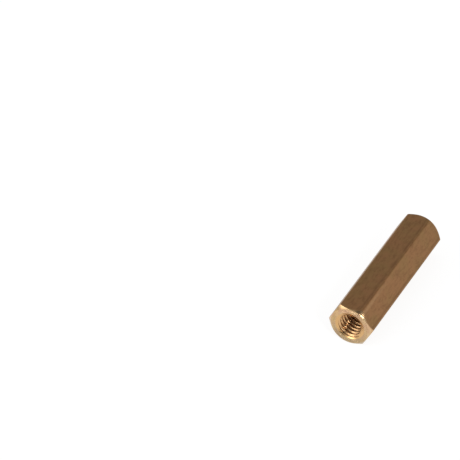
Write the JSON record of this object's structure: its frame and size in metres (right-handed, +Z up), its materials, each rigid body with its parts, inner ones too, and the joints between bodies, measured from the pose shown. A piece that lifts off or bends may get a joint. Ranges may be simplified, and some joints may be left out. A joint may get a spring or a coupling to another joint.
{
  "type": "hex standoff",
  "caption": "Brass hexagonal spacer with a tapped through hole, countersunk mouths and turned corner chamfers, lying on a flat; it holds a board off a panel.",
  "frame": {"origin": "middle of the flat that the bar lies on, which is the bottom centre of its box", "axes": "+Y along the bar from the near end to the far end, +Z up, +X across the corners"},
  "size_m": [0.0052, 0.018, 0.0045],
  "materials": {
    "brass": "drawn hexagonal bar with dull satin flats, and freshly turned bright end faces, chamfers and thread"
  },
  "bodies": {
    "root": {"hex_standoff": "brass"}
  },
  "joints": []
}
